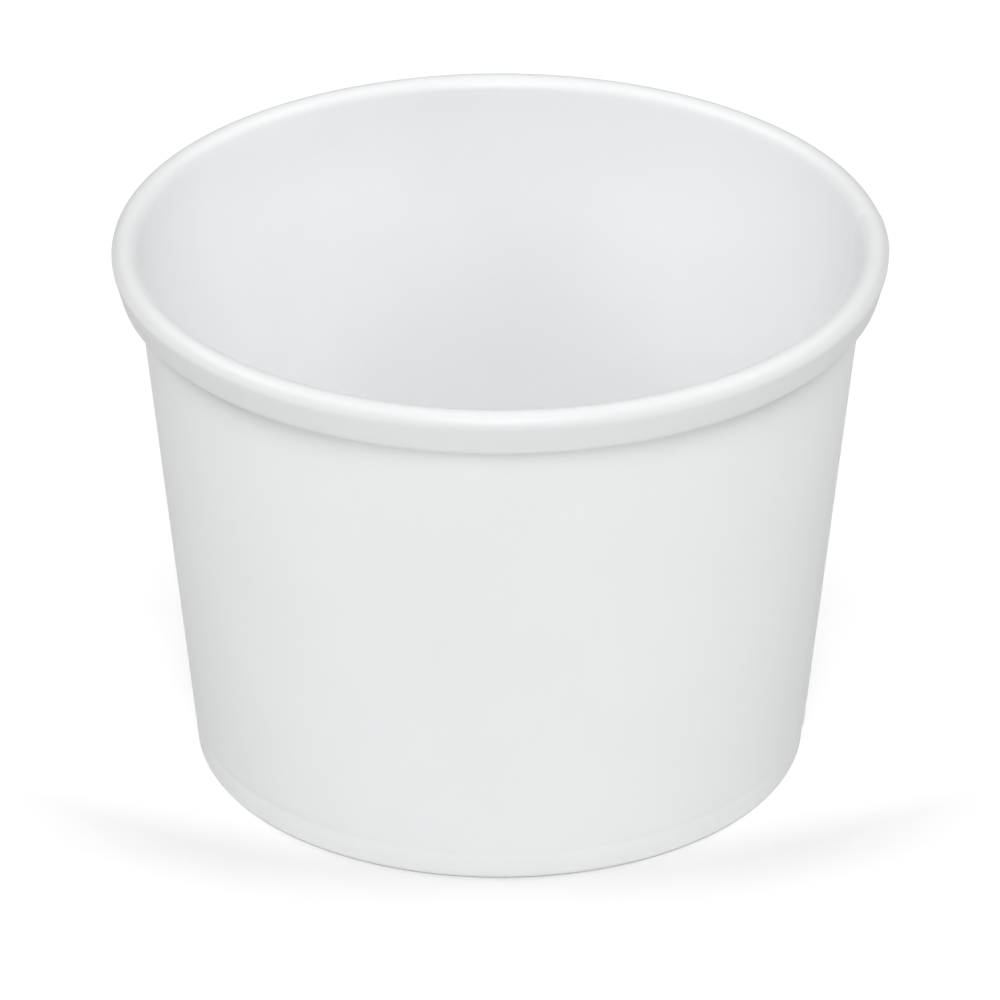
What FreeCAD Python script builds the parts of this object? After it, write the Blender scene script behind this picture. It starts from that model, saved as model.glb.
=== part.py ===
"""A plain paper sundae cup, built as the real one is: a side wall rolled from one sheet of coated board,
with a rolled rim, a lapped seam and a folded foot, and a base disc whose skirt is held in that fold.

Sizes are millimetres and degrees. Z is up, the foot stands on Z = 0 and the cup's axis is the Z axis.
The seam is on the +X side. The sheet's outer end lies at Y = 0, and its inner end lies under it, lap_angle
further round towards +Y, where its edge shows in the mouth.
The food face is the sheet's inner side, which the rim turns outwards; the print face is its other side.
"""

import FreeCAD, Part
import Sketcher
import math
import os

SIZES = {
    "rim_diameter": 90.0,  # across the rolled rim
    "cup_height": 65.0,  # from the surface it stands on to the top of the rim
    "foot_diameter": 71.5,  # across the folded foot
    "wall_board": 0.40,  # thickness of the side wall's sheet
    "rim_width": 3.0,  # rolled rim, from the mouth to its outside
    "rim_depth": 5.5,  # rolled rim, from its top to its heel
    "heel_radius": 1.0,  # the roll's lower turn, outside
    "curl_gap": 0.10,  # between the wall and the sheet's end inside the roll
    "curl_tail": 2.4,  # straight end of the sheet inside the roll
    "fold_radius": 0.10,  # inside radius of the two corners of the foot's fold
    "hem_height": 5.8,  # top of the turned-up hem, above the surface it stands on
    "base_board": 0.34,  # thickness of the base disc's board
    "base_recess": 7.0,  # underside of the base disc, above the surface it stands on
    "base_bend": 0.35,  # inside radius where the base disc turns down into its skirt
    "skirt_end_gap": 0.30,  # below the skirt's cut edge, in the fold
    "bond_gap": 0.03,  # film of coating on each side of the skirt
    "lap_angle": 9.0,  # how far the sheet's two ends lap
    "lap_step": 0.30,  # how far the pressed lap stands out
    "ramp_angle": 3.0,  # past the lap, where the outer sheet comes down to the wall
    "notch_angle": 1.2,  # the hollow beside the inner end, under that ramp
    "notch_depth": 0.16,  # the inner end's height that shows in the mouth
}

ORIGIN = (-1, 1)  # a sketch's root point, as a geometry number and a point number
H_AXIS, V_AXIS = -1, -2  # a sketch's two axes
START, END, CENTRE = 1, 2, 3
NORMAL = FreeCAD.Vector(0, 0, 1)

doc = FreeCAD.newDocument("sundae_cup")


def make_sheet():
    """The spreadsheet that holds the driving sizes."""
    sheet = doc.addObject("Spreadsheet::Sheet", "Sizes")
    for row, (alias, value) in enumerate(SIZES.items(), start=1):
        sheet.set(f"A{row}", alias)
        sheet.set(f"B{row}", str(value))
        sheet.setAlias(f"B{row}", alias)
    doc.recompute()
    return sheet


sizes = make_sheet()


def point(x, z):
    """A point of a sketch."""
    return FreeCAD.Vector(x, z, 0)


def new_sketch(body, name, plane_role, height=None):
    """A sketch on one of the body's own origin planes, or at a height above it."""
    plane = next(f for f in body.Origin.OriginFeatures if f.Role == plane_role)
    sketch = body.newObject("Sketcher::SketchObject", name)
    sketch.AttachmentSupport = [(plane, "")]
    sketch.MapMode = "FlatFace"
    if height:
        sketch.setExpression("AttachmentOffset.Base.z", height)
    return sketch


def turn_to_lap_end(sketch):
    """Turns a sketch about the cup's axis, to where the sheet's inner end lies."""
    sketch.AttachmentOffset = FreeCAD.Placement(point(0, 0), FreeCAD.Rotation(point(0, 1), sizes.lap_angle))
    sketch.setExpression("AttachmentOffset.Rotation.Angle", "Sizes.lap_angle * 1 deg")


def bind(sketch, kind, parts, expression):
    """A dimension of a sketch, bound to an expression on the sheet's cells."""
    value = float(sketch.evalExpression(expression))
    index = sketch.addConstraint(Sketcher.Constraint(kind, *parts, value))
    sketch.setExpression(f"Constraints[{index}]", f"({expression}) * 1 mm")


def place(sketch, spot, across, up):
    """Binds a point's two distances from the sketch's root."""
    bind(sketch, "DistanceX", (*ORIGIN, *spot), across)
    bind(sketch, "DistanceY", (*ORIGIN, *spot), up)


def measure(sketch, line, name):
    """Names the radius and height of both ends of a line, which other sketches read."""
    for end, spot in (("start", START), ("end", END)):
        for kind, word in (("DistanceX", "radius"), ("DistanceY", "height")):
            index = sketch.addConstraint(Sketcher.Constraint(kind, *ORIGIN, line, spot, 1.0))
            sketch.setDriving(index, False)
            sketch.renameConstraint(index, f"{name}_{end}_{word}")


def measured(name, end):
    """Expressions for the radius and height of a measured line's end."""
    return [f"BoardSection.Constraints.{name}_{end}_{word} / 1 mm" for word in ("radius", "height")]


def trace(sketch, name):
    """A construction line that lies on a measured line of the board's section."""
    ends = [measured(name, end) for end in ("start", "end")]
    spots = [point(*(float(sketch.evalExpression(text)) for text in pair)) for pair in ends]
    line = sketch.addGeometry(Part.LineSegment(*spots), True)
    for spot, (across, up) in zip((START, END), ends):
        place(sketch, (line, spot), across, up)
    return line


def close_between(sketch, a, b, end):
    """A line from one line's end to the same end of another."""
    spots = [getattr(sketch.Geometry[line], "StartPoint" if end == START else "EndPoint") for line in (a, b)]
    closing = sketch.addGeometry(Part.LineSegment(*spots))
    sketch.addConstraint(Sketcher.Constraint("Coincident", closing, START, a, end))
    sketch.addConstraint(Sketcher.Constraint("Coincident", closing, END, b, end))
    return closing


# The runs and turns of the wall's sheet, from its end inside the rim to its end on the hem
TAIL, HEEL, SIDE, CROWN, WALL, OUTER_CORNER, FOOT, INNER_CORNER, HEM = range(9)


class BoardSection:
    """Where the wall's sheet runs, in the plane of the axis: four turns joined by straight runs."""

    def __init__(self):
        crown = sizes.rim_width / 2
        heel = sizes.heel_radius
        corner = sizes.fold_radius
        board = sizes.wall_board
        self.crown_centre = point(sizes.rim_diameter / 2 - crown, sizes.cup_height - crown)
        self.outer_corner = point(sizes.foot_diameter / 2 - board - corner, board + corner)
        reach = self.crown_centre - self.outer_corner
        self.taper = math.acos((crown + corner) / reach.Length) - math.atan2(reach.y, reach.x)
        self.up = point(math.sin(self.taper), math.cos(self.taper))
        self.out = point(math.cos(self.taper), -math.sin(self.taper))
        mouth = self.crown_centre - self.out * crown
        beside = mouth + self.out * (board + sizes.curl_gap + heel)
        drop = beside.y - (sizes.cup_height - sizes.rim_depth + heel)
        self.heel_centre = beside - self.up * (drop / self.up.y)
        rise = self.crown_centre - self.heel_centre
        lean = math.atan2(rise.y, rise.x) - math.acos((heel - crown) / rise.Length)
        self.side_out = point(math.cos(lean), math.sin(lean))
        slot = sizes.base_board + 2 * sizes.bond_gap
        self.inner_corner = self.outer_corner - point((slot - 2 * corner) / self.up.y, 0)

    def points(self, depth):
        """The ends of the nine runs and turns, at a depth into the board from the food face."""
        crown = sizes.rim_width / 2 - depth
        heel = sizes.heel_radius - depth
        corner = sizes.fold_radius + depth
        tail_foot = self.heel_centre - self.out * heel
        hem_foot = self.inner_corner - self.out * corner
        hem_rise = (sizes.hem_height - hem_foot.y) / self.up.y
        return [
            tail_foot + self.up * sizes.curl_tail,
            tail_foot,
            self.heel_centre + self.side_out * heel,
            self.crown_centre + self.side_out * crown,
            self.crown_centre - self.out * crown,
            self.outer_corner + self.out * corner,
            self.outer_corner - point(0, corner),
            self.inner_corner - point(0, corner),
            hem_foot,
            hem_foot + self.up * hem_rise,
        ]

    def turns(self):
        """Each turn's centre, and whether the path goes round it anticlockwise."""
        return {
            HEEL: (self.heel_centre, True),
            CROWN: (self.crown_centre, True),
            OUTER_CORNER: (self.outer_corner, False),
            INNER_CORNER: (self.inner_corner, False),
        }


def draw_face(sketch, section, depth):
    """One face of the sheet: straight runs and turns that touch end to end."""
    points = section.points(depth)
    first = sketch.GeometryCount
    turns = section.turns()
    ends = []
    for step, (a, b) in enumerate(zip(points, points[1:])):
        if step not in turns:
            sketch.addGeometry(Part.LineSegment(a, b))
            ends.append((START, END))
            continue
        centre, anticlockwise = turns[step]
        low, high = (a, b) if anticlockwise else (b, a)
        angles = [math.atan2(p.y - centre.y, p.x - centre.x) for p in (low, high)]
        if angles[1] < angles[0]:
            angles[1] += 2 * math.pi
        circle = Part.Circle(centre, NORMAL, (a - centre).Length)
        sketch.addGeometry(Part.ArcOfCircle(circle, *angles))
        ends.append((START, END) if anticlockwise else (END, START))
    for step in range(len(ends) - 1):
        joint = (first + step, ends[step][1], first + step + 1, ends[step + 1][0])
        sketch.addConstraint(Sketcher.Constraint("Tangent", *joint))
    return first


def draw_board_section(body):
    """The sheet's section: its food face, its print face a board's thickness away, and two cut ends."""
    section = BoardSection()
    sketch = new_sketch(body, "BoardSection", "XZ_Plane")
    turn_to_lap_end(sketch)
    food = draw_face(sketch, section, 0)
    printed = draw_face(sketch, section, sizes.wall_board)
    radii = {
        HEEL: ("Sizes.heel_radius", "-"),
        CROWN: ("Sizes.rim_width / 2", "-"),
        OUTER_CORNER: ("Sizes.fold_radius", "+"),
        INNER_CORNER: ("Sizes.fold_radius", "+"),
    }
    for turn, (radius, sign) in radii.items():
        bind(sketch, "Radius", (food + turn,), radius)
        bind(sketch, "Radius", (printed + turn,), f"{radius} {sign} Sizes.wall_board")
        same = (food + turn, CENTRE, printed + turn, CENTRE)
        sketch.addConstraint(Sketcher.Constraint("Coincident", *same))
    place(
        sketch,
        (food + CROWN, CENTRE),
        "(Sizes.rim_diameter - Sizes.rim_width) / 2",
        "Sizes.cup_height - Sizes.rim_width / 2",
    )
    place(
        sketch,
        (food + OUTER_CORNER, CENTRE),
        "Sizes.foot_diameter / 2 - Sizes.wall_board - Sizes.fold_radius",
        "Sizes.wall_board + Sizes.fold_radius",
    )
    heel_height = "Sizes.cup_height - Sizes.rim_depth + Sizes.heel_radius"
    bind(sketch, "DistanceY", (*ORIGIN, food + HEEL, CENTRE), heel_height)
    heel_reach = "Sizes.wall_board + Sizes.curl_gap + Sizes.heel_radius"
    bind(sketch, "Distance", (food + HEEL, CENTRE, food + WALL), heel_reach)
    bind(sketch, "Distance", (food + HEM, START, food + WALL), "Sizes.base_board + 2 * Sizes.bond_gap")
    bind(sketch, "DistanceY", (*ORIGIN, food + HEM, END), "Sizes.hem_height")
    bind(sketch, "Distance", (food + TAIL,), "Sizes.curl_tail")
    sketch.addConstraint(Sketcher.Constraint("Horizontal", food + FOOT))
    for run, end in ((TAIL, START), (HEM, END)):
        sketch.addConstraint(Sketcher.Constraint("Parallel", food + run, food + WALL))
        sketch.addConstraint(Sketcher.Constraint("Parallel", printed + run, food + WALL))
        cut_end = close_between(sketch, food + run, printed + run, end)
        sketch.addConstraint(Sketcher.Constraint("Perpendicular", cut_end, food + run))
    measure(sketch, food + WALL, "food")
    measure(sketch, printed + WALL, "print")
    return sketch


def revolve(body, sketch, name):
    """A full turn of a section about the cup's axis."""
    turned = body.newObject("PartDesign::Revolution", name)
    turned.Profile = sketch
    turned.ReferenceAxis = (sketch, ["V_Axis"])
    turned.Angle = 360
    return turned


def draw_lap_outline(body, name, height, outside, inside):
    """The lap from above at one height: a step at Y = 0, then the ramp where the outer sheet comes down."""
    sketch = new_sketch(body, name, "XY_Plane", height)
    lap_end = "Sizes.lap_angle * 1 deg"
    ramp_end = "(Sizes.lap_angle + Sizes.ramp_angle) * 1 deg"
    arcs = []
    for radius, angle in ((outside, lap_end), (inside, ramp_end)):
        size = float(sketch.evalExpression(radius))
        reach = math.radians(float(sketch.evalExpression(f"({angle}) / 1 deg")))
        arc = sketch.addGeometry(Part.ArcOfCircle(Part.Circle(point(0, 0), NORMAL, size), 0, reach))
        sketch.addConstraint(Sketcher.Constraint("Coincident", arc, CENTRE, *ORIGIN))
        sketch.addConstraint(Sketcher.Constraint("PointOnObject", arc, START, H_AXIS))
        bind(sketch, "Radius", (arc,), radius)
        bind(sketch, "DistanceY", (*ORIGIN, arc, END), f"({radius}) * sin({angle})")
        arcs.append(arc)
    for end in (START, END):
        close_between(sketch, *arcs, end)
    return sketch


def add_lap(body):
    """The sheet's outer end, lapped over its inner end: flush at the foot, up into the crease of the rim."""
    high, low = (measured("print", end) for end in ("start", "end"))
    slope = f"({high[0]} - {low[0]}) / ({high[1]} - {low[1]})"
    corner_top = "Sizes.wall_board + Sizes.fold_radius"
    crease = "Sizes.cup_height - Sizes.rim_depth + Sizes.heel_radius / 4"
    foot_radius = "Sizes.foot_diameter / 2 - Sizes.wall_board - Sizes.fold_radius"
    foot_inside = f"{foot_radius} - Sizes.wall_board / 2"
    outlines = [draw_lap_outline(body, "LapAtFoot", "0", foot_radius, foot_inside)]
    for name, height in (("LapAtCorner", corner_top), ("LapAtCrease", crease)):
        printed = f"{low[0]} + ({height} - {low[1]}) * {slope}"
        outside = f"{printed} + Sizes.lap_step"
        inside = f"{printed} - Sizes.wall_board / 2"
        outlines.append(draw_lap_outline(body, name, height, outside, inside))
    doc.recompute()
    lap = body.newObject("PartDesign::AdditiveLoft", "Lap")
    lap.Profile = outlines[0]
    lap.Sections = outlines[1:]
    lap.Ruled = True
    return lap


def draw_edge_band(body):
    """A band along the food face, half in the board, from the hem to the rim, at the lap's far side."""
    sketch = new_sketch(body, "EdgeBand", "XZ_Plane")
    turn_to_lap_end(sketch)
    wall = trace(sketch, "food")
    section = BoardSection()
    lines = []
    for depth in (sizes.notch_depth, -sizes.notch_depth):
        high, low = section.points(depth)[WALL : WALL + 2]
        top = low + section.up * ((sizes.cup_height - sizes.rim_width / 2 - low.y) / section.up.y)
        foot = low + section.up * ((sizes.hem_height - low.y) / section.up.y)
        line = sketch.addGeometry(Part.LineSegment(top, foot))
        sketch.addConstraint(Sketcher.Constraint("Parallel", line, wall))
        bind(sketch, "Distance", (line, START, wall), "Sizes.notch_depth")
        bind(sketch, "DistanceY", (*ORIGIN, line, START), "Sizes.cup_height - Sizes.rim_width / 2")
        bind(sketch, "DistanceY", (*ORIGIN, line, END), "Sizes.hem_height")
        lines.append(line)
    for end in (START, END):
        close_between(sketch, *lines, end)
    return sketch


def cut_inner_edge(body):
    """The hollow beside the sheet's inner end, where the outer sheet comes down from the lap."""
    band = draw_edge_band(body)
    doc.recompute()
    hollow = body.newObject("PartDesign::Groove", "InnerEdge")
    hollow.Profile = band
    hollow.ReferenceAxis = (band, ["V_Axis"])
    hollow.setExpression("Angle", "Sizes.notch_angle * 1 deg")
    return hollow


def draw_disc_section(body):
    """Half of the base disc: flat board that bends down into a skirt beside the wall."""
    sketch = new_sketch(body, "DiscSection", "XZ_Plane")
    wall = trace(sketch, "food")
    section = BoardSection()
    board = sizes.base_board
    bend = sizes.base_bend
    centre_height = sizes.base_recess - bend
    low = section.points(0)[WALL + 1]
    on_wall = low + section.up * ((centre_height - low.y) / section.up.y)
    centre = on_wall - point((sizes.bond_gap + board + bend) / section.up.y, 0)
    skirt_low = sizes.wall_board + sizes.skirt_end_gap
    faces = []
    for reach, name in ((bend, "Sizes.base_bend"), (bend + board, "Sizes.base_bend + Sizes.base_board")):
        side_point = centre + section.out * reach
        low_point = side_point - section.up * ((side_point.y - skirt_low) / section.up.y)
        flat = sketch.addGeometry(Part.LineSegment(point(0, centre.y + reach), centre + point(0, reach)))
        lean = math.atan2(section.out.y, section.out.x)
        circle = Part.Circle(centre, NORMAL, reach)
        arc = sketch.addGeometry(Part.ArcOfCircle(circle, lean, math.pi / 2))
        skirt = sketch.addGeometry(Part.LineSegment(side_point, low_point))
        sketch.addConstraint(Sketcher.Constraint("Tangent", flat, END, arc, END))
        sketch.addConstraint(Sketcher.Constraint("Tangent", arc, START, skirt, START))
        sketch.addConstraint(Sketcher.Constraint("Parallel", skirt, wall))
        sketch.addConstraint(Sketcher.Constraint("Horizontal", flat))
        sketch.addConstraint(Sketcher.Constraint("PointOnObject", flat, START, V_AXIS))
        bind(sketch, "Radius", (arc,), name)
        faces.append((flat, arc, skirt))
    (flat, arc, skirt), (top, outer_arc, outer_skirt) = faces
    sketch.addConstraint(Sketcher.Constraint("Coincident", arc, CENTRE, outer_arc, CENTRE))
    bind(sketch, "DistanceY", (*ORIGIN, flat, START), "Sizes.base_recess")
    bind(sketch, "Distance", (outer_arc, START, wall), "Sizes.bond_gap")
    bind(sketch, "DistanceY", (*ORIGIN, skirt, END), "Sizes.wall_board + Sizes.skirt_end_gap")
    close_between(sketch, flat, top, START)
    cut_end = close_between(sketch, skirt, outer_skirt, END)
    sketch.addConstraint(Sketcher.Constraint("Perpendicular", cut_end, skirt))
    return sketch


def make_side_wall():
    """The side wall: rolled sheet, lapped seam and the line of the sheet's inner end."""
    body = doc.addObject("PartDesign::Body", "side_wall")
    section = draw_board_section(body)
    doc.recompute()
    revolve(body, section, "RolledSheet")
    doc.recompute()
    add_lap(body)
    doc.recompute()
    cut_inner_edge(body)
    doc.recompute()
    return body


def make_base_disc():
    """The base disc, pressed from one blank."""
    body = doc.addObject("PartDesign::Body", "base_disc")
    section = draw_disc_section(body)
    doc.recompute()
    revolve(body, section, "PressedDisc")
    doc.recompute()
    return body


def check(body):
    """Stops the build when a sketch is loose or a feature has failed."""
    for item in (body, *body.Group):
        failed = [state for state in item.State if state in ("Invalid", "Error")]
        if failed or item.Shape.isNull():
            raise RuntimeError(f"{item.Label} has failed: {failed}")
        if item.TypeId == "Sketcher::SketchObject" and not item.FullyConstrained:
            raise RuntimeError(f"{item.Label} isn't fully constrained")
    if not body.Shape.isValid() or len(body.Shape.Solids) != 1:
        raise RuntimeError(f"{body.Label} isn't one valid solid")


def main():
    os.makedirs("parts", exist_ok=True)
    for body in (make_side_wall(), make_base_disc()):
        body.Label = body.Name
        body.Placement = FreeCAD.Placement()
        check(body)
        body.Shape.exportStep(f"parts/{body.Label}.step")
        print(body.Label, round(body.Shape.Volume, 1), "mm3", len(body.Shape.Faces), "faces")


main()
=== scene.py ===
"""The looks of a plain paper sundae cup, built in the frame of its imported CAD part.

The side wall is one sheet of coated board. Its section is drawn once, as a closed outline of two faces and
two cut ends. A Geometry Nodes tree wraps that outline round the cup's axis, with the lapped seam where the
sheet's ends meet. The base disc is wrapped by the same tree. Lengths are metres.
"""

import logging
import math
from dataclasses import dataclass, field
from enum import Enum

import bpy
import numpy as np
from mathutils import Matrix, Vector

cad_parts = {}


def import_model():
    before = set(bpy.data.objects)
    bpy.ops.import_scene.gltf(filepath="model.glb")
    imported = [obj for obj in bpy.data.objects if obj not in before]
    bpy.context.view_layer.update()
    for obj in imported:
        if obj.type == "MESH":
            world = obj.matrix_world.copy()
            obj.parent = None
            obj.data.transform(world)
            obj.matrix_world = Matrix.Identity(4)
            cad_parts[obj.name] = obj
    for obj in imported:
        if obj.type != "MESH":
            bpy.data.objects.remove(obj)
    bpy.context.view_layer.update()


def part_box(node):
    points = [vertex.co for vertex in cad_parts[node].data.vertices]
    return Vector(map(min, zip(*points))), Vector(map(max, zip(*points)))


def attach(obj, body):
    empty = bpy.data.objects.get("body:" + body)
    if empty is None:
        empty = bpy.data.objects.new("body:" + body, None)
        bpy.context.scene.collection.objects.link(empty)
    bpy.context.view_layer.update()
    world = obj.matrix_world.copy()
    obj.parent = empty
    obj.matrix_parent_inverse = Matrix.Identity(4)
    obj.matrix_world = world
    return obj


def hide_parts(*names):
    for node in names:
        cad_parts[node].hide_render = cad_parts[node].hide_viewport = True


LOG = logging.getLogger("sundae_cup")
MM = 0.001
WELD = 1e-7
SWAY_CLIMB = 9.0
SWAY_SCALE = 1.3
SHARP_ANGLE = 50.0


class Side(Enum):
    """The two faces of a sheet of board."""

    FOOD = 0.0
    PRINT = 1.0


# Sizes


@dataclass(frozen=True)
class CupSizes:
    """The sizes that the cup's pieces share."""

    rim_radius: float
    height: float
    foot_radius: float = 35.75 * MM
    board: float = 0.40 * MM
    rim_width: float = 3.0 * MM
    rim_depth: float = 5.5 * MM
    heel_radius: float = 1.0 * MM
    curl_gap: float = 0.10 * MM
    curl_tail: float = 2.4 * MM
    fold_radius: float = 0.10 * MM
    hem_height: float = 5.8 * MM
    base_board: float = 0.34 * MM
    base_recess: float = 7.0 * MM
    base_bend: float = 0.35 * MM
    skirt_end: float = 0.70 * MM
    bond_gap: float = 0.03 * MM
    crimp_height: float = 3.3 * MM
    crimp_width: float = 0.5 * MM
    crimp_depth: float = 0.05 * MM

    @classmethod
    def from_frame(cls) -> "CupSizes":
        """Reads the cup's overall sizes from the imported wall."""
        low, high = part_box("side_wall")
        return cls(rim_radius=(high.y - low.y) / 2, height=high.z)


@dataclass(frozen=True)
class LapSizes:
    """The lapped seam, with its angles in degrees from the edge of the outer sheet.

    Args:
        width: how far the sheet's ends overlap.
        ramp: how far the outer sheet takes to come down again.
        step: how far it stands out.
        rim_bulge: how far the rim stands out over the overlap.
        end_hollow: how deep the food face drops beside the inner sheet's end.
        hollow_width: how far that drop takes to come back.
        bulge_rise: from where to where the bulge rises at the outer sheet's edge.
        hair: width of the step at a sheet's edge.
        near: distance of the first even place beside an edge.
        lead: how far before the outer sheet's edge the places come closer.
        lead_places: how many places there are in that stretch.
        overlap_places: how many there are in the overlap.
        ramp_places: how many there are in the ramp.
    """

    width: float = 9.0
    ramp: float = 3.0
    step: float = 0.30 * MM
    rim_bulge: float = 0.09 * MM
    end_hollow: float = 0.16 * MM
    hollow_width: float = 1.6
    bulge_rise: tuple[float, float] = (-2.6, 0.6)
    hair: float = 0.03
    near: float = 0.4
    lead: float = 4.0
    lead_places: int = 9
    overlap_places: int = 14
    ramp_places: int = 16


@dataclass(frozen=True)
class LapReach:
    """Where on the sheet each part of the lapped seam takes hold.

    Args:
        rim_start: how far inside the middle of the rim the sheet starts to count as rim.
        bulge_full: how far below the top of the rim the bulge is full on its outer side.
        fade: the height over which the bulge and the hollow come in at their lower ends.
        hollow_lost: how much of the hollow is lost on the rim.
        step_fade: the height over which the step comes in at the foot.
        upright: how level a face's direction is on the wall.
    """

    rim_start: float = 1.3 * MM
    bulge_full: float = 2.0 * MM
    fade: float = 1.0 * MM
    hollow_lost: float = 0.7
    step_fade: float = 0.6 * MM
    upright: float = 0.9


@dataclass(frozen=True)
class SectionSteps:
    """How many parts each stretch of a section is cut into."""

    tail: int = 3
    heel: int = 14
    side: int = 6
    crown: int = 22
    wall: int = 33
    crimp: int = 12
    toe: int = 4
    fold: int = 6
    hem: int = 8
    disc: int = 26
    disc_bend: int = 8
    skirt: int = 6


# The section of the sheet


@dataclass
class SectionPoint:
    """One point of a closed section.

    Args:
        radius: distance from the axis.
        height: height above the surface the cup stands on.
        out: unit direction from the food face to the print face.
        lap: how far the point follows the lap's step, its bulge and its hollow, each 0 to 1.
        side: the face of the board that the point is on.
        cut: 1 on a cut end of the board.
        rim: 1 where the board is stretched over the rolled rim; the material paints shade there.
    """

    radius: float
    height: float
    out: Vector
    lap: Vector = field(default_factory=lambda: Vector((0, 0, 0)))
    side: Side = Side.FOOD
    cut: float = 0.0
    rim: float = 0.0


def smooth(value: float, low: float, high: float) -> float:
    """Rises smoothly from 0 at one value to 1 at another."""
    share = min(1.0, max(0.0, (value - low) / (high - low)))
    return share * share * (3 - 2 * share)


def flat(x: float, z: float) -> Vector:
    """A point or direction in the plane of the section: distance from the axis and height."""
    return Vector((x, 0, z))


class WallSection:
    """The closed outline of the side wall's sheet: four turns joined by straight runs."""

    steps = SectionSteps()
    lap_reach = LapReach()
    crimp_reach = 3.0

    def __init__(self, sizes: CupSizes) -> None:
        """Finds the centres and directions of the section.

        Args:
            sizes: the sizes of the cup.
        """
        self.sizes = sizes
        crown, heel, corner = sizes.rim_width / 2, sizes.heel_radius, sizes.fold_radius
        self.crown_centre = flat(sizes.rim_radius - crown, sizes.height - crown)
        inset = sizes.board + corner
        self.outer_corner = flat(sizes.foot_radius - inset, inset)
        reach = self.crown_centre - self.outer_corner
        self.taper = math.acos((crown + corner) / reach.length) - math.atan2(reach.z, reach.x)
        self.up = flat(math.sin(self.taper), math.cos(self.taper))
        self.out = flat(math.cos(self.taper), -math.sin(self.taper))
        mouth = self.crown_centre - self.out * crown
        beside = mouth + self.out * (sizes.board + sizes.curl_gap + heel)
        drop = beside.z - (sizes.height - sizes.rim_depth + heel)
        self.heel_centre = beside - self.up * (drop / self.up.z)
        rise = self.crown_centre - self.heel_centre
        lean = math.atan2(rise.z, rise.x) - math.acos((heel - crown) / rise.length)
        self.side_out = flat(math.cos(lean), math.sin(lean))
        slot = sizes.base_board + 2 * sizes.bond_gap
        self.inner_corner = self.outer_corner - flat((slot - 2 * corner) / self.up.z, 0)

    def wall_radius(self, height: float) -> float:
        """The radius of the wall's food face at a height."""
        start = self.crown_centre - self.out * (self.sizes.rim_width / 2)
        return start.x - (start.z - height) * self.up.x / self.up.z

    def run(self, a: Vector, b: Vector, out: Vector, steps: int, depth: float) -> list[SectionPoint]:
        """A straight run of one face at a depth in the board, without its last point."""
        spots = [a.lerp(b, i / steps) + out * depth for i in range(steps)]
        return [SectionPoint(spot.x, spot.z, out) for spot in spots]

    def turn(self, centre: Vector, radius: float, angles: tuple[float, float], steps: int, inward: bool,
             depth: float) -> list[SectionPoint]:
        """A turn of one face.

        Args:
            centre: the turn's centre.
            radius: radius of the food face.
            angles: where the turn starts and ends, in radians.
            steps: how many parts the turn is cut into.
            inward: whether the print face is on the centre's side.
            depth: how far into the board the face lies.

        Returns:
            The turn's points, without its last.
        """
        points = []
        for i in range(steps):
            angle = angles[0] + (angles[1] - angles[0]) * i / steps
            ray = flat(math.cos(angle), math.sin(angle))
            out = -ray if inward else ray
            spot = centre + ray * radius + out * depth
            points.append(SectionPoint(spot.x, spot.z, out))
        return points

    def wall_run(self, top: Vector, foot: Vector, side: Side) -> list[SectionPoint]:
        """The wall's long straight run, with the shallow line that the crimping tool leaves above the foot.

        Args:
            top: where the food face's run starts, in the mouth.
            foot: where it ends.
            side: the face.

        Returns:
            The run's points, without its last.
        """
        sizes = self.sizes
        depth = sizes.board if side is Side.PRINT else 0.0
        line = sizes.crimp_height
        reach = self.crimp_reach * sizes.crimp_width
        heights = list(np.linspace(top.z, line + reach, self.steps.wall + 1))
        heights += list(np.linspace(line + reach, line - reach, self.steps.crimp + 1))[1:]
        heights += list(np.linspace(line - reach, foot.z, self.steps.toe + 1))[1:-1]
        points = []
        for height in heights:
            dent = math.exp(-(((height - line) / sizes.crimp_width) ** 2)) if side is Side.PRINT else 0.0
            spot = top.lerp(foot, (top.z - height) / (top.z - foot.z))
            spot += self.out * (depth - dent * sizes.crimp_depth)
            points.append(SectionPoint(spot.x, spot.z, self.out))
        return points

    def face(self, side: Side) -> list[SectionPoint]:
        """One face of the sheet, from its end inside the rim to its end on the hem.

        Args:
            side: the face.

        Returns:
            The face's points in order.
        """
        sizes = self.sizes
        depth = sizes.board if side is Side.PRINT else 0.0
        crown, heel, corner = sizes.rim_width / 2, sizes.heel_radius, sizes.fold_radius
        out_angle = math.atan2(self.out.z, self.out.x)
        side_angle = math.atan2(self.side_out.z, self.side_out.x)
        tail_foot = self.heel_centre - self.out * heel
        hem_foot = self.inner_corner - self.out * corner
        hem_top = hem_foot + self.up * ((sizes.hem_height - hem_foot.z) / self.up.z)
        mouth = self.crown_centre - self.out * crown
        wall_foot = self.outer_corner + self.out * corner
        side_foot = self.heel_centre + self.side_out * heel
        side_top = self.crown_centre + self.side_out * crown
        drop = flat(0, corner)
        over = out_angle + math.pi
        under = out_angle - math.pi
        steps = self.steps
        points = self.run(tail_foot + self.up * sizes.curl_tail, tail_foot, self.out, steps.tail, depth)
        points += self.turn(self.heel_centre, heel, (under, side_angle), steps.heel, True, depth)
        points += self.run(side_foot, side_top, -self.side_out, steps.side, depth)
        points += self.turn(self.crown_centre, crown, (side_angle, over), steps.crown, True, depth)
        points += self.wall_run(mouth, wall_foot, side)
        points += self.turn(self.outer_corner, corner, (out_angle, -math.pi / 2), steps.fold, False, depth)
        points += self.run(self.outer_corner - drop, self.inner_corner - drop, flat(0, -1), 1, depth)
        points += self.turn(self.inner_corner, corner, (-math.pi / 2, under), steps.fold, False, depth)
        points += self.run(hem_foot, hem_top, -self.out, steps.hem, depth)
        end = hem_top - self.out * depth
        points.append(SectionPoint(end.x, end.z, -self.out))
        for point in points:
            point.side = side
        return points

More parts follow.
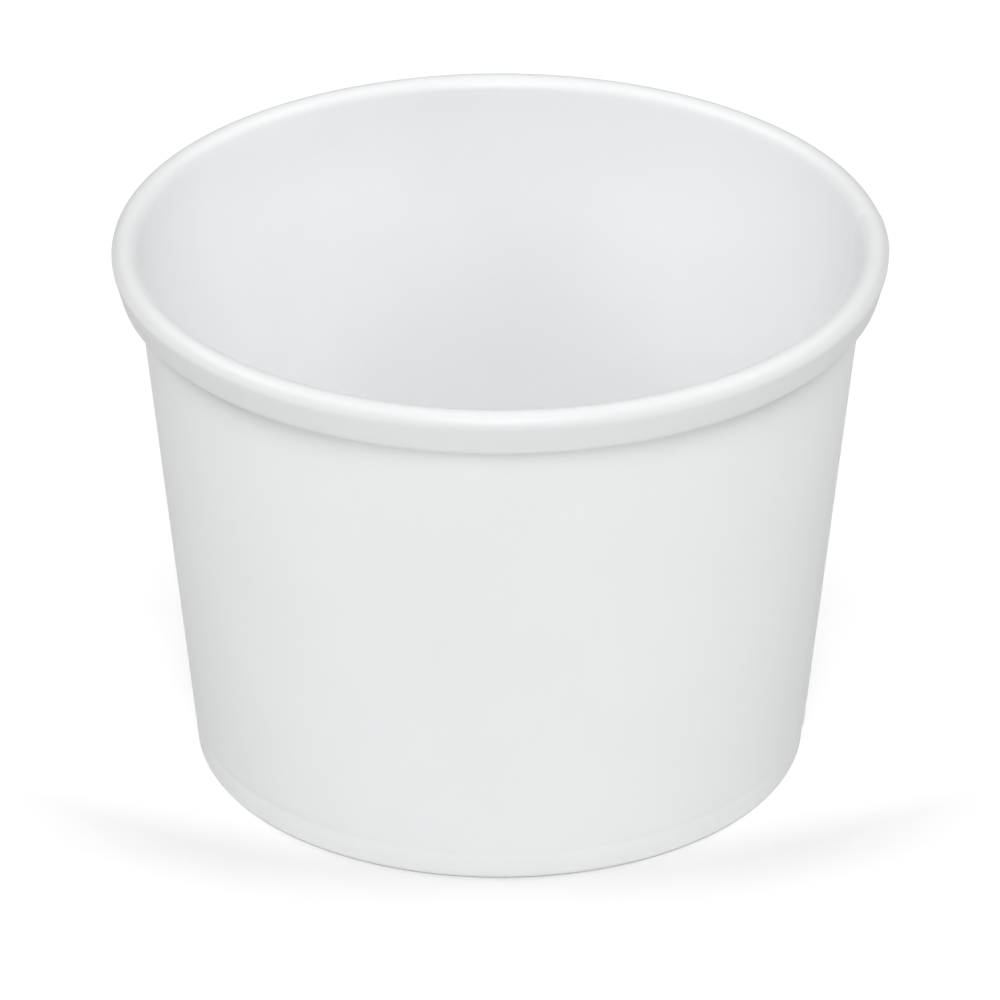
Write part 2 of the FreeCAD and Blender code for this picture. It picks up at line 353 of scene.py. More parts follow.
    def outline(self) -> list[SectionPoint]:
        """The whole closed outline, with each point's share in the lap.

        Returns:
            The outline's points in order, ready to be wrapped.
        """
        sizes, reach = self.sizes, self.lap_reach
        food, printed = self.face(Side.FOOD), self.face(Side.PRINT)
        for face in (food, printed):
            face[0].cut = face[-1].cut = 1.0
        rim_foot = sizes.height - sizes.rim_depth
        for point in food:
            on_rim = smooth(point.radius, self.crown_centre.x - reach.rim_start, self.crown_centre.x)
            above = smooth(point.height, rim_foot - reach.fade, sizes.height - reach.bulge_full)
            hollow = smooth(point.height, sizes.hem_height, sizes.hem_height + reach.fade)
            over = on_rim * above if point.out.x > 0 else on_rim
            point.rim = on_rim
            point.lap = Vector((0, over, hollow * (1 - reach.hollow_lost * on_rim)))
        crease = rim_foot + sizes.heel_radius / 4
        for point in printed:
            beyond = point.radius > self.wall_radius(point.height) + sizes.board / 2
            if point.out.x > reach.upright and point.height < crease and beyond:
                point.lap = Vector((smooth(point.height, 0, reach.step_fade), 0, 0))
        return food + printed[::-1]


class DiscSection:
    """The closed outline of half of the base disc."""

    def __init__(self, sizes: CupSizes, wall: WallSection) -> None:
        """Keeps the cup's sizes and the section that the skirt lies against."""
        self.sizes = sizes
        self.wall = wall

    def outline(self) -> list[SectionPoint]:
        """The disc's outline: its underside out to the skirt's end, then its food face back to the axis.

        Returns:
            The outline's points in order, ready to be wrapped.
        """
        sizes, wall, steps = self.sizes, self.wall, self.wall.steps
        bend_height = sizes.base_recess - sizes.base_bend
        inset = (sizes.bond_gap + sizes.base_board + sizes.base_bend) / wall.up.z
        centre = flat(wall.wall_radius(bend_height) - inset, bend_height)
        lean = math.atan2(wall.out.z, wall.out.x)
        faces = []
        for side, reach in ((Side.PRINT, sizes.base_bend), (Side.FOOD, sizes.base_bend + sizes.base_board)):
            points = []
            for i in range(steps.disc):
                radius = centre.x * i / steps.disc
                points.append(SectionPoint(radius, centre.z + reach, flat(0, -1), side=side))
            for i in range(steps.disc_bend + 1):
                angle = math.pi / 2 + (lean - math.pi / 2) * i / steps.disc_bend
                ray = flat(math.cos(angle), math.sin(angle))
                spot = centre + ray * reach
                points.append(SectionPoint(spot.x, spot.z, -ray, side=side))
            last = centre + wall.out * reach
            for i in range(1, steps.skirt + 1):
                spot = last - wall.up * ((last.z - sizes.skirt_end) / wall.up.z * i / steps.skirt)
                points.append(SectionPoint(spot.x, spot.z, -wall.out, side=side))
            points[-1].cut = 1.0
            faces.append(points)
        return faces[0] + faces[1][::-1]


# Meshes that feed the Geometry Nodes trees


def helper_mesh(name: str, spots: list[Vector], vectors: dict[str, list[Vector]],
                floats: dict[str, list[float]]) -> bpy.types.Object:
    """A mesh of loose points with attributes, for a tree to sample.

    Args:
        name: the object's name.
        spots: the points.
        vectors: vector attributes by name.
        floats: number attributes by name.

    Returns:
        The object, which is in no collection.
    """
    mesh = bpy.data.meshes.new(name)
    mesh.from_pydata([tuple(spot) for spot in spots], [], [])
    for key, values in vectors.items():
        attribute = mesh.attributes.new(key, "FLOAT_VECTOR", "POINT")
        attribute.data.foreach_set("vector", np.array([tuple(v) for v in values], np.float32).ravel())
    for key, values in floats.items():
        attribute = mesh.attributes.new(key, "FLOAT", "POINT")
        attribute.data.foreach_set("value", np.array(values, np.float32))
    return bpy.data.objects.new(name, mesh)


def section_object(name: str, outline: list[SectionPoint]) -> bpy.types.Object:
    """Turns an outline into an object that the wrapping tree samples.

    Args:
        name: the object's name.
        outline: the closed outline.

    Returns:
        The object.
    """
    return helper_mesh(
        name,
        [flat(p.radius, p.height) for p in outline],
        {"out": [p.out for p in outline], "share": [p.lap for p in outline]},
        {
            "cut": [p.cut for p in outline],
            "side": [p.side.value for p in outline],
            "rim": [p.rim for p in outline],
        },
    )


def lap_stations(lap: LapSizes, count: int) -> list[tuple[float, Vector]]:
    """Where the wall's section is repeated round the axis, with the state of the lap at each place.

    Args:
        lap: the sizes of the lap.
        count: how many even steps go round the rest of the cup.

    Returns:
        Pairs of an angle in degrees and the amounts of step, bulge and hollow there.
    """
    end, foot, near = lap.width, lap.width + lap.ramp, lap.near
    angles = list(np.linspace(foot + near, 360 - lap.lead, count))
    angles += list(np.linspace(near - lap.lead, -near, lap.lead_places)) + [-lap.hair, 0.0]
    angles += list(np.linspace(near, end - near, lap.overlap_places)) + [end - lap.hair, end]
    angles += list(np.linspace(end + near / 2, foot, lap.ramp_places))
    stations = []
    for angle in sorted(a if a < 180 else a - 360 for a in angles):
        step = 0.0 if angle < 0 else 1 - smooth(angle, end, foot)
        bulge = smooth(angle, *lap.bulge_rise) if angle < end else 0.0
        hollow = 0.0 if angle < end else 1 - smooth(angle, end, end + lap.hollow_width)
        stations.append((angle, Vector((step, bulge, hollow))))
    return stations


def even_stations(count: int) -> list[tuple[float, Vector]]:
    """Even places round the axis with no lap, as pairs of an angle in degrees and a zero state."""
    return [(360 * i / count - 180, Vector((0, 0, 0))) for i in range(count)]


def station_object(name: str, stations: list[tuple[float, Vector]]) -> bpy.types.Object:
    """Turns stations into an object that the wrapping tree samples.

    Args:
        name: the object's name.
        stations: the stations in order round the axis.

    Returns:
        The object.
    """
    spots = [Vector((i * MM, 0, 0)) for i in range(len(stations))]
    angles = [math.radians(angle) for angle, _ in stations]
    return helper_mesh(name, spots, {"lap": [state for _, state in stations]}, {"angle": angles})


# Writing node trees


class NodeWriter:
    """A short way to write a node tree."""

    prefix = "ShaderNode"

    def __init__(self, tree: bpy.types.NodeTree) -> None:
        """Keeps the tree to write in."""
        self.tree = tree

    def fill(self, socket: bpy.types.NodeSocket, value: object) -> None:
        """Fills an input.

        Args:
            socket: the input.
            value: a socket to link from, or a value to set.
        """
        if isinstance(value, bpy.types.NodeSocket):
            self.tree.links.new(value, socket)
        else:
            socket.default_value = value

    def node(self, kind: str, links: dict[int | str, object] | None = None,
             **settings: object) -> bpy.types.Node:
        """Adds a node.

        Args:
            kind: the node's type, without the writer's prefix, or its whole name.
            links: what goes into each input: a socket to link, or a value to set.
            settings: properties of the node.

        Returns:
            The node.
        """
        whole = kind if kind.startswith(("ShaderNode", "FunctionNode")) else self.prefix + kind
        made = self.tree.nodes.new(whole)
        for key, value in settings.items():
            setattr(made, key, value)
        for key, value in (links or {}).items():
            self.fill(made.inputs[key], value)
        return made

    def math(self, operation: str, *values: object) -> bpy.types.NodeSocket:
        """Adds a number operation on sockets or values and gives its result."""
        return self.node("ShaderNodeMath", dict(enumerate(values)), operation=operation).outputs[0]

    def vector(self, operation: str, *values: object) -> bpy.types.Node:
        """Adds a vector operation on sockets or values."""
        return self.node("ShaderNodeVectorMath", dict(enumerate(values)), operation=operation)

    def scaled(self, vector: object, factor: bpy.types.NodeSocket) -> bpy.types.NodeSocket:
        """Makes a vector longer or shorter by a factor."""
        return self.node("ShaderNodeVectorMath", {0: vector, "Scale": factor}, operation="SCALE").outputs[0]


class ShapeTree(NodeWriter):
    """A Geometry Nodes tree that ends in real geometry with its material."""

    prefix = "GeometryNode"

    def __init__(self, name: str) -> None:
        """Makes an empty tree.

        Args:
            name: the tree's name.
        """
        super().__init__(bpy.data.node_groups.new(name, "GeometryNodeTree"))
        self.tree.interface.new_socket("Geometry", in_out="OUTPUT", socket_type="NodeSocketGeometry")
        self.inputs = self.tree.nodes.new("NodeGroupInput")
        self.output = self.tree.nodes.new("NodeGroupOutput")

    def input(self, name: str, kind: str) -> bpy.types.NodeSocket:
        """Adds a named input of a kind of socket to the tree. A number that nothing sets is 0."""
        self.tree.interface.new_socket(name, in_out="INPUT", socket_type=f"NodeSocket{kind}")
        return self.inputs.outputs[name]

    def attribute(self, name: str, kind: str) -> bpy.types.NodeSocket:
        """Reads a named attribute of a data type."""
        return self.node("InputNamedAttribute", {"Name": name}, data_type=kind).outputs["Attribute"]

    def sample(self, geometry: bpy.types.NodeSocket, value: bpy.types.NodeSocket, index: bpy.types.NodeSocket,
               kind: str) -> bpy.types.NodeSocket:
        """Reads a value of another mesh's point, by the point's index."""
        links = {"Geometry": geometry, "Value": value, "Index": index}
        return self.node("SampleIndex", links, data_type=kind, domain="POINT").outputs["Value"]

    def finish(self, geometry: bpy.types.NodeSocket) -> bpy.types.NodeTree:
        """Ends the tree in real geometry with its material.

        Args:
            geometry: the geometry to end with.

        Returns:
            The tree.
        """
        material = self.input("Material", "Material")
        real = self.node("RealizeInstances", {"Geometry": geometry}).outputs[0]
        dressed = self.node("SetMaterial", {"Geometry": real, "Material": material}).outputs[0]
        self.tree.links.new(dressed, self.output.inputs[0])
        return self.tree


class LookTree(NodeWriter):
    """The nodes of a material, all of them in the piece's own coordinates."""

    def __init__(self, name: str) -> None:
        """Makes a material with a plain surface.

        Args:
            name: the material's name.
        """
        self.material = bpy.data.materials.new(name)
        self.material.use_nodes = True
        super().__init__(self.material.node_tree)
        self.surface = self.tree.nodes["Principled BSDF"]

    def set(self, name: str, value: object) -> None:
        """Fills an input of the surface with a socket or a value."""
        self.fill(self.surface.inputs[name], value)

    def place(self) -> bpy.types.NodeSocket:
        """Reads the place on the piece."""
        return self.node("TexCoord").outputs["Object"]

    def noise(self, scale: float, detail: float, upward: float = 1.0) -> bpy.types.NodeSocket:
        """Adds a noise.

        Args:
            scale: how many lumps there are in a metre.
            detail: how fine it gets.
            upward: how fast it changes upwards, as a share of how fast it changes sideways.

        Returns:
            The noise's socket.
        """
        mapped = self.node("Mapping", {"Vector": self.place(), "Scale": (1, 1, upward)}).outputs[0]
        return self.node("TexNoise", {"Vector": mapped, "Scale": scale, "Detail": detail}).outputs[0]

    def attribute(self, name: str) -> bpy.types.NodeSocket:
        """Reads a number that the piece's mesh carries."""
        return self.node("Attribute", attribute_name=name).outputs["Fac"]

    def spread(self, value: bpy.types.NodeSocket, low: float, high: float) -> bpy.types.NodeSocket:
        """Turns a share from 0 to 1 into a range."""
        return self.node("MapRange", {"Value": value, "To Min": low, "To Max": high}).outputs[0]

    def rise(self, value: bpy.types.NodeSocket, low: float, high: float) -> bpy.types.NodeSocket:
        """Turns a range into a share that rises smoothly from 0 to 1."""
        links = {"Value": value, "From Min": low, "From Max": high}
        return self.node("MapRange", links, interpolation_type="SMOOTHSTEP").outputs[0]

    def mix(self, share: bpy.types.NodeSocket, first: object, second: object) -> bpy.types.NodeSocket:
        """Mixes two colours.

        Args:
            share: how much of the second there is.
            first: a colour's socket or value.
            second: the other colour.

        Returns:
            The mix's socket.
        """
        made = self.node("Mix", {"Factor": share}, data_type="RGBA")
        colours = {socket.name: socket for socket in made.inputs if socket.type == "RGBA"}
        self.fill(colours["A"], first)
        self.fill(colours["B"], second)
        return next(socket for socket in made.outputs if socket.type == "RGBA")


# Geometry Nodes


def wrapping_tree() -> bpy.types.NodeTree:
    """The tree that wraps a closed section of board round the axis.

    Returns:
        The tree.
    """
    tree = ShapeTree("WrapBoard")
    section = tree.node("ObjectInfo", {"Object": tree.input("Section", "Object")}).outputs["Geometry"]
    stations = tree.node("ObjectInfo", {"Object": tree.input("Stations", "Object")}).outputs["Geometry"]
    lap_step = tree.input("Lap step", "Float")
    bulge = tree.input("Rim bulge", "Float")
    hollow = tree.input("End hollow", "Float")
    uneven = tree.input("Unevenness", "Float")
    seed = tree.input("Seed", "Int")
    points = tree.node("AttributeDomainSize", {"Geometry": section}, component="MESH").outputs["Point Count"]
    places = tree.node("AttributeDomainSize", {"Geometry": stations}, component="MESH").outputs["Point Count"]
    across = tree.math("ADD", points, 1.0)
    around = tree.math("ADD", places, 1.0)
    grid = tree.node("MeshGrid", {"Vertices X": across, "Vertices Y": around}).outputs["Mesh"]
    index = tree.node("InputIndex").outputs[0]
    row = tree.math("FLOOR", tree.math("DIVIDE", tree.math("ADD", index, 0.5), around))
    column = tree.math("SUBTRACT", index, tree.math("MULTIPLY", row, around))
    at = tree.math("MODULO", row, points)
    place = tree.math("MODULO", column, places)
    spot = tree.sample(section, tree.node("InputPosition").outputs[0], at, "FLOAT_VECTOR")
    out = tree.sample(section, tree.attribute("out", "FLOAT_VECTOR"), at, "FLOAT_VECTOR")
    share = tree.sample(section, tree.attribute("share", "FLOAT_VECTOR"), at, "FLOAT_VECTOR")
    angle = tree.sample(stations, tree.attribute("angle", "FLOAT"), place, "FLOAT")
    state = tree.sample(stations, tree.attribute("lap", "FLOAT_VECTOR"), place, "FLOAT_VECTOR")
    outward = tree.math("MULTIPLY", bulge, -1.0)
    amounts = tree.node("ShaderNodeCombineXYZ", {0: lap_step, 1: outward, 2: hollow})
    shared = tree.vector("MULTIPLY", share, state).outputs[0]
    offset = tree.vector("DOT_PRODUCT", shared, amounts.outputs[0]).outputs["Value"]
    moved = tree.vector("ADD", spot, tree.scaled(out, offset)).outputs[0]
    parts = tree.node("ShaderNodeSeparateXYZ", {0: moved})
    cos, sin = tree.math("COSINE", angle), tree.math("SINE", angle)
    climb = tree.math("MULTIPLY", parts.outputs["Z"], SWAY_CLIMB)
    ring = tree.node("ShaderNodeCombineXYZ", {0: cos, 1: sin, 2: climb}).outputs[0]
    links = {"Vector": ring, "W": seed, "Scale": SWAY_SCALE, "Detail": 1.0}
    noise = tree.node("ShaderNodeTexNoise", links, noise_dimensions="4D").outputs[0]
    sway = tree.math("MULTIPLY", tree.math("SUBTRACT", noise, 0.5), uneven)
    radius = tree.math("MULTIPLY", parts.outputs["X"], tree.math("ADD", sway, 1.0))
    x, y = tree.math("MULTIPLY", radius, cos), tree.math("MULTIPLY", radius, sin)
    links = {0: x, 1: y, 2: parts.outputs["Z"]}
    wrapped = tree.node("ShaderNodeCombineXYZ", links).outputs[0]
    shape = grid
    for name in ("cut", "side", "rim"):
        value = tree.sample(section, tree.attribute(name, "FLOAT"), at, "FLOAT")
        links = {"Geometry": shape, "Name": name, "Value": value}
        shape = tree.node("StoreNamedAttribute", links, data_type="FLOAT", domain="POINT").outputs[0]
    shape = tree.node("SetPosition", {"Geometry": shape, "Position": wrapped}).outputs[0]
    shape = tree.node("MergeByDistance", {"Geometry": shape, "Distance": WELD}).outputs[0]
    shape = tree.node("SetShadeSmooth", {"Geometry": shape, "Shade Smooth": True}).outputs[0]
    return tree.finish(shape)


def rib_tree() -> bpy.types.NodeTree:
    """The tree that repeats a pressed rib round the hem.

    Returns:
        The tree.
    """
    tree = ShapeTree("HemRibs")
    count = tree.input("Ribs", "Int")
    radius = tree.input("Ring radius", "Float")
    height = tree.input("Ring height", "Float")
    size = tree.input("Rib size", "Vector")
    lean = tree.input("Lean", "Float")
    uneven = tree.input("Unevenness", "Float")
    seed = tree.input("Seed", "Int")
    ring = tree.node("MeshCircle", {"Vertices": count, "Radius": radius}).outputs[0]
    lift = tree.node("ShaderNodeCombineXYZ", {2: height}).outputs[0]
    ring = tree.node("SetPosition", {"Geometry": ring, "Offset": lift}).outputs[0]
    spot = tree.node("ShaderNodeSeparateXYZ", {0: tree.node("InputPosition").outputs[0]})
    angle = tree.math("ARCTAN2", spot.outputs["Y"], spot.outputs["X"])
    turn = tree.node("ShaderNodeCombineXYZ", {1: lean, 2: angle}).outputs[0]
    rib = tree.node("MeshUVSphere", {"Segments": 14, "Rings": 10, "Radius": 1.0}).outputs["Mesh"]
    links = {"Seed": seed, 2: tree.math("SUBTRACT", 1.0, uneven), 3: 1.0}
    jitter = tree.node("FunctionNodeRandomValue", links, data_type="FLOAT").outputs[1]
    links = {"Points": ring, "Instance": rib, "Rotation": turn, "Scale": tree.scaled(size, jitter)}
    ribs = tree.node("InstanceOnPoints", links).outputs[0]
    ribs = tree.node("SetShadeSmooth", {"Geometry": ribs, "Shade Smooth": True}).outputs[0]
    return tree.finish(ribs)


def grow(name: str, group: bpy.types.NodeTree, values: dict[str, object]) -> bpy.types.Object:
    """Runs a tree with its inputs set and keeps the result as a plain mesh.

    Args:
        name: the piece's name.
        group: the tree.
        values: the value of each named input.

    Returns:
        The piece, at the origin, with no modifier.
    """
    piece = bpy.data.objects.new(name, bpy.data.meshes.new(name))
    bpy.context.scene.collection.objects.link(piece)
    modifier = piece.modifiers.new("Shape", "NODES")
    modifier.node_group = group
    sockets = {s.name: s.identifier for s in group.interface.items_tree if s.in_out == "INPUT"}
    for key, value in values.items():
        modifier[sockets[key]] = value
    graph = bpy.context.evaluated_depsgraph_get()
    mesh = bpy.data.meshes.new_from_object(piece.evaluated_get(graph), depsgraph=graph)
    piece.modifiers.clear()
    piece.data = mesh
    mesh.name = name
    return piece


def turn_outward(piece: bpy.types.Object) -> None:
    """Flips a closed mesh whose faces point into it.

    Args:
        piece: the piece.
    """
    mesh = piece.data
    mesh.calc_loop_triangles()
    corners = np.empty(len(mesh.loop_triangles) * 3, np.int32)
    mesh.loop_triangles.foreach_get("vertices", corners)
    spots = np.empty(len(mesh.vertices) * 3, np.float64)
    mesh.vertices.foreach_get("co", spots)
    a, b, c = spots.reshape(-1, 3)[corners.reshape(-1, 3)].transpose(1, 0, 2)
    if np.einsum("ij,ij->i", a, np.cross(b, c)).sum() < 0:
        mesh.flip_normals()


def sharpen(piece: bpy.types.Object) -> None:
    """Keeps edges sharp where the faces beside them turn by more than the sharp angle."""
    piece.data.set_sharp_from_angle(angle=math.radians(SHARP_ANGLE))


# Finishes


@dataclass(frozen=True)
class CoatedBoard:
    """White cup board with a thin coating on both faces.

    Args:
        name: the material's name.
        colour: colour of the coated board.
        fibre: colour of a cut end.
        print_roughness: roughness of the outside.
        food_roughness: roughness of the inside.
        print_sheen: how much the outside reflects.
        food_sheen: how much the inside reflects.
        rim_painted_shade_colour: a darker colour painted where the board is stretched over the rim, as
            painted shade that dims the rim's lit top.
        grain: height of the board's fine texture.
        cloud: colour of the duller places of the board, as a share of its colour.
        cloud_scale: how many such places there are in a metre.
        cloud_spread: how far the noise behind them is stretched, where it is 0 and where it is 1.
        blotch: how much the roughness varies.
        blotch_scale: how many of its blotches there are in a metre.
        cut_roughness: roughness of a cut end.
        coating_index: refractive index of the coating.
        pore_scale: how many of the coarser pores there are in a metre.
        fibre_scale: how many of the finest ones there are in a metre.
        fibre_share: how deep the finest ones are beside the coarser ones.
        fibre_upward: how fast the finest ones change upwards, as a share of sideways.
        relief: strength of the whole texture.
    """

    name: str
    colour: tuple[float, float, float] = (0.86, 0.865, 0.87)
    fibre: tuple[float, float, float] = (0.80, 0.785, 0.755)
    print_roughness: float = 0.72
    food_roughness: float = 0.40
    print_sheen: float = 0.15
    food_sheen: float = 0.4
    rim_painted_shade_colour: tuple[float, float, float] = (0.79, 0.795, 0.80)
    grain: float = 0.02 * MM
    cloud: float = 0.975
    cloud_scale: float = 70.0
    cloud_spread: tuple[float, float] = (-0.4, 1.4)
    blotch: float = 0.06
    blotch_scale: float = 420.0
    cut_roughness: float = 0.85
    coating_index: float = 1.47
    pore_scale: float = 900.0
    fibre_scale: float = 2600.0
    fibre_share: float = 0.4
    fibre_upward: float = 0.7
    relief: float = 0.5

    def build(self) -> bpy.types.Material:
        """Makes the material.

        Returns:
            The material.
        """
        look = LookTree(self.name)
        self.paint(look)
        self.coat(look)
        self.texture(look)
        return look.material

    def paint(self, look: LookTree) -> None:
        """Colours the board and its cut ends, and paints shade over the rim.

        Args:
            look: the material's nodes.
        """
        dull = (*(c * self.cloud for c in self.colour), 1)
        clouds = look.spread(look.noise(self.cloud_scale, detail=3), *self.cloud_spread)
        board = look.mix(clouds, dull, (*self.colour, 1))
        # The rim is painted darker than the rest of the board: painted shade that dims the rim under the top
        # lamps.
        board = look.mix(look.attribute("rim"), board, (*self.rim_painted_shade_colour, 1))
        look.set("Base Color", look.mix(look.attribute("cut"), board, (*self.fibre, 1)))

    def coat(self, look: LookTree) -> None:
        """Gives each face of the board its own sheen.

        Args:
            look: the material's nodes.
        """
        side = look.attribute("side")
        blotches = look.spread(look.noise(self.blotch_scale, detail=2), -self.blotch, self.blotch)
        rough = look.math("ADD", look.spread(side, self.food_roughness, self.print_roughness), blotches)
        on_cut = look.math("MULTIPLY", look.attribute("cut"), self.cut_roughness)
        look.set("Roughness", look.math("MAXIMUM", rough, on_cut))
        look.set("IOR", self.coating_index)
        look.set("Specular IOR Level", look.spread(side, self.food_sheen, self.print_sheen))

    def texture(self, look: LookTree) -> None:
        """Raises the board's fine texture.

        Args:
            look: the material's nodes.
        """
        fibres = look.noise(self.fibre_scale, detail=2, upward=self.fibre_upward)
        fine = look.math("MULTIPLY", fibres, self.fibre_share)
        height = look.math("ADD", fine, look.noise(self.pore_scale, detail=3))
        bump = look.node("Bump", {"Strength": self.relief, "Distance": self.grain, "Height": height})
        look.set("Normal", bump.outputs[0])


# The pieces


@dataclass
class SideWall:
    """The side wall: rolled sheet with a rolled rim, a lapped seam and a folded foot."""

    sizes: CupSizes
    lap: LapSizes
    finish: CoatedBoard
    places: int = 330
    unevenness: float = 0.004
    seed: int = 4

    def build(self, tree: bpy.types.NodeTree) -> bpy.types.Object:
        """Wraps the wall and dresses it.

        Args:
            tree: the wrapping tree.

        Returns:
            The wall.
        """
        outline = WallSection(self.sizes).outline()
        values = {
            "Section": section_object("wall_section", outline),
            "Stations": station_object("wall_stations", lap_stations(self.lap, self.places)),
            "Lap step": self.lap.step,
            "Rim bulge": self.lap.rim_bulge,
            "End hollow": self.lap.end_hollow,
            "Unevenness": self.unevenness,
            "Seed": self.seed,
            "Material": self.finish.build(),
        }
        wall = grow("cup_wall", tree, values)
        turn_outward(wall)
        sharpen(wall)
        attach(wall, "root")
        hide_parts("side_wall")
        return wall


@dataclass
class BaseDisc:
    """The base disc with its turned-down skirt."""

    sizes: CupSizes
    finish: CoatedBoard
    places: int = 240

    def build(self, tree: bpy.types.NodeTree) -> bpy.types.Object:
        """Wraps the disc and dresses it.

        Args:
            tree: the wrapping tree.

        Returns:
            The disc.
        """
        outline = DiscSection(self.sizes, WallSection(self.sizes)).outline()
        values = {
            "Section": section_object("disc_section", outline),
            "Stations": station_object("disc_stations", even_stations(self.places)),
            "Material": self.finish.build(),
        }
        disc = grow("cup_base", tree, values)
        turn_outward(disc)
        sharpen(disc)
        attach(disc, "root")
        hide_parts("base_disc")
        return disc


@dataclass
class HemRibs:
    """The ribs that the crimping tool presses into the hem, seen from below."""

    sizes: CupSizes
    material: bpy.types.Material
    count: int = 124
    height: float = 3.1 * MM
    size: tuple[float, float, float] = (0.10 * MM, 0.50 * MM, 1.7 * MM)
    unevenness: float = 0.12
    seed: int = 9

    def build(self) -> bpy.types.Object:
        """Repeats the rib round the hem.

        Returns:
            The ribs as one piece.
        """
        section = WallSection(self.sizes)
        inset = self.sizes.base_board + 2 * self.sizes.bond_gap + self.sizes.board
        radius = section.wall_radius(self.height) - inset / section.up.z
        values = {
            "Ribs": self.count,
            "Ring radius": radius,
            "Ring height": self.height,
            "Rib size": self.size,
            "Lean": section.taper,
            "Unevenness": self.unevenness,
            "Seed": self.seed,
            "Material": self.material,
        }
        ribs = grow("hem_ribs", rib_tree(), values)
        turn_outward(ribs)
        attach(ribs, "root")
        return ribs


# Stage, lights and camera


@dataclass(frozen=True)
class SoftLamp:
    """A square lamp that faces the cup. One that hangs to the right has a twin on the left.

    Args:
        name: the lamp's name.
        place: where it hangs.
        size: its width and height.
        power: its power in watts.
        aim: the height on the cup's axis that it faces.
    """

    name: str
    place: tuple[float, float, float]
    size: float
    power: float
    aim: float = 35 * MM

    def hang(self) -> None:
        """Adds the lamp and its twin, if it has one."""
        x, y, z = self.place
        for hand in (-1, 1) if x else (1,):
            spot = Vector((x * hand, y, z))
            data = bpy.data.lights.new(self.name, "AREA")
            data.size = self.size
            data.energy = self.power
            lamp = bpy.data.objects.new(self.name, data)
            lamp.location = spot
            lamp.rotation_euler = (Vector((0, 0, self.aim)) - spot).to_track_quat("-Z", "Y").to_euler()
            bpy.context.scene.collection.objects.link(lamp)


@dataclass(frozen=True)
class Camera:
    """The place that the photo was taken from.

    Args:
        distance: how far it is from the cup's axis.
        pitch: how far it looks down, in degrees.
        aim_height: the height on the axis in the middle of the picture.
        scale: how many pixels a metre on the axis takes.
        sensor: width of the sensor in millimetres.
        pixels: width of the picture.
    """

    distance: float = 1.2
    pitch: float = 28.05
    aim_height: float = 30.57 * MM
    scale: float = 8525.0
    sensor: float = 36.0
    pixels: float = 1000.0

    def place(self) -> None:
        """Puts the camera in its place."""
        data = bpy.data.cameras.new("photo_view")
        data.lens = self.scale * self.distance / self.pixels * self.sensor
        data.sensor_width = self.sensor
        data.clip_start = 0.01
        data.clip_end = 20
        camera = bpy.data.objects.new("photo_view", data)
        pitch = math.radians(self.pitch)
        rise = self.aim_height + self.distance * math.sin(pitch)
        camera.location = (0, -self.distance * math.cos(pitch), rise)
        camera.rotation_euler = (math.pi / 2 - pitch, 0, 0)
        bpy.context.scene.collection.objects.link(camera)
        bpy.context.scene.camera = camera


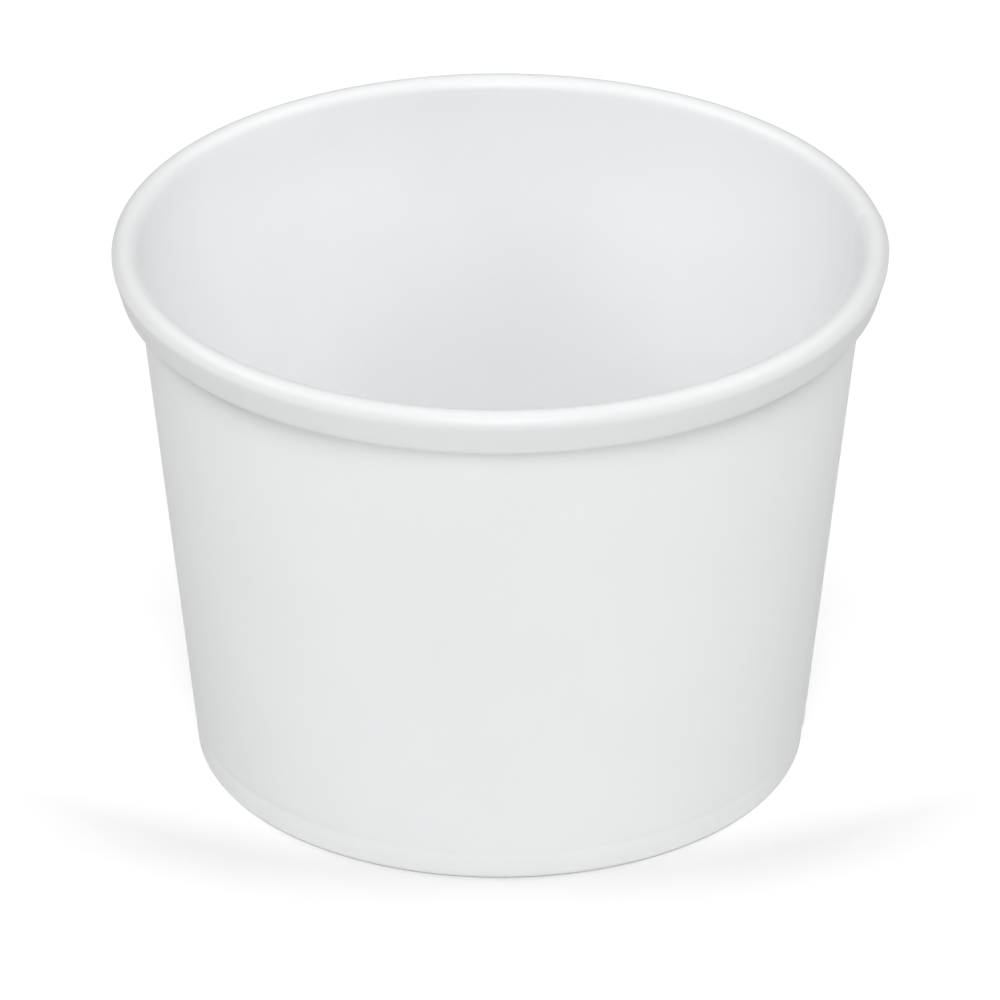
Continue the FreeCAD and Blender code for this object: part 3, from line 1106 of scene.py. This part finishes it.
@dataclass(frozen=True)
class Studio:
    """A white sweep under soft light.

    Args:
        lamps: the lamps.
        ambient: how bright the surround is as a light.
        surround: the surround's colour as a light.
        floor_half: half the floor's width.
        floor_grey: how much light the floor returns.
        floor_white: how much the floor glows for the camera.
        painted_shadow_glow: how much it glows just in front of the foot, less than elsewhere, which paints a
            shadow there.
        painted_shadow_depth: from where to where, front to back, the glow rises out of the painted shadow.
        painted_shadow_reach: from where to where, outwards from the axis, the glow rises out of the painted
            shadow.
    """

    lamps: tuple[SoftLamp, ...] = (
        SoftLamp("front", (0.0, -1.4, 0.62), 0.6, 4.8),
        SoftLamp("high_front", (0.0, -1.1, 1.1), 0.7, 10.6),
        SoftLamp("side", (1.1, 0.0, 1.1), 0.7, 8.1),
        SoftLamp("low_front_side", (1.2, -1.0, 0.35), 0.6, 0.4),
        SoftLamp("back_side", (0.9, 0.7, 1.1), 0.7, 3.4),
    )
    ambient: float = 0.064
    surround: tuple[float, float, float] = (0.985, 0.992, 1.0)
    floor_half: float = 1.5
    floor_grey: float = 0.70
    floor_white: float = 0.40
    painted_shadow_glow: float = 0.14
    painted_shadow_depth: tuple[float, float] = (-34 * MM, -8 * MM)
    painted_shadow_reach: tuple[float, float] = (38 * MM, 66 * MM)

    def world(self) -> None:
        """A plain white surround, whiter for the camera than as a light."""
        world = bpy.data.worlds.new("surround")
        world.use_nodes = True
        world.node_tree.nodes.clear()
        writer = NodeWriter(world.node_tree)
        light = writer.node("Background", {"Color": (*self.surround, 1), "Strength": self.ambient}).outputs[0]
        white = writer.node("Background", {"Color": (1, 1, 1, 1), "Strength": 1.0}).outputs[0]
        seen = writer.node("LightPath").outputs["Is Camera Ray"]
        mixed = writer.node("MixShader", {0: seen, 1: light, 2: white}).outputs[0]
        writer.node("OutputWorld", {"Surface": mixed})
        bpy.context.scene.world = world

    def floor_glow(self, look: LookTree) -> bpy.types.NodeSocket:
        """How much the floor glows for the camera: less in front of the foot, which paints a shadow there
        over the cup's cast shadow.

        Args:
            look: the nodes of the floor's material.

        Returns:
            The glow's socket.
        """
        place = look.place()
        depth = look.node("SeparateXYZ", {0: place}).outputs["Y"]
        reach = look.vector("LENGTH", place).outputs["Value"]
        # Less glow in front of the foot paints a shadow there, beside the cup's cast shadow.
        far = look.math("MAXIMUM", look.rise(depth, *self.painted_shadow_depth), look.rise(reach, *self.painted_shadow_reach))
        level = look.spread(far, self.painted_shadow_glow, self.floor_white)
        return look.math("MULTIPLY", look.node("LightPath").outputs["Is Camera Ray"], level)

    def floor(self) -> bpy.types.Object:
        """A white floor that shows the cup's cast shadow and a painted shadow in front of the foot.

        Returns:
            The floor.
        """
        half = self.floor_half
        mesh = bpy.data.meshes.new("floor")
        corners = [(-half, -half, 0), (half, -half, 0), (half, half, 0), (-half, half, 0)]
        mesh.from_pydata(corners, [], [(0, 1, 2, 3)])
        floor = bpy.data.objects.new("floor", mesh)
        bpy.context.scene.collection.objects.link(floor)
        look = LookTree("white_floor")
        look.set("Base Color", (self.floor_grey, self.floor_grey, self.floor_grey, 1))
        look.set("Roughness", 0.9)
        look.set("Specular IOR Level", 0.1)
        look.set("Emission Color", (1, 1, 1, 1))
        look.set("Emission Strength", self.floor_glow(look))
        mesh.materials.append(look.material)
        return floor

    def build(self) -> None:
        """Sets up the whole studio."""
        self.world()
        self.floor()
        for lamp in self.lamps:
            lamp.hang()
        bpy.context.scene.view_settings.view_transform = "Standard"


def main() -> None:
    """Builds the cup and its studio."""
    logging.basicConfig(level=logging.INFO, format="%(message)s")
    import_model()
    sizes = CupSizes.from_frame()
    tree = wrapping_tree()
    wall = SideWall(sizes, LapSizes(), CoatedBoard("wall_board")).build(tree)
    LOG.info("side wall: %d faces", len(wall.data.polygons))
    disc = BaseDisc(sizes, CoatedBoard("base_board", print_roughness=0.6)).build(tree)
    LOG.info("base disc: %d faces", len(disc.data.polygons))
    ribs = HemRibs(sizes, wall.data.materials[0]).build()
    LOG.info("hem ribs: %d faces", len(ribs.data.polygons))
    Camera().place()
    LOG.info("camera")
    Studio().build()
    LOG.info("studio")


if __name__ == "__main__":
    main()
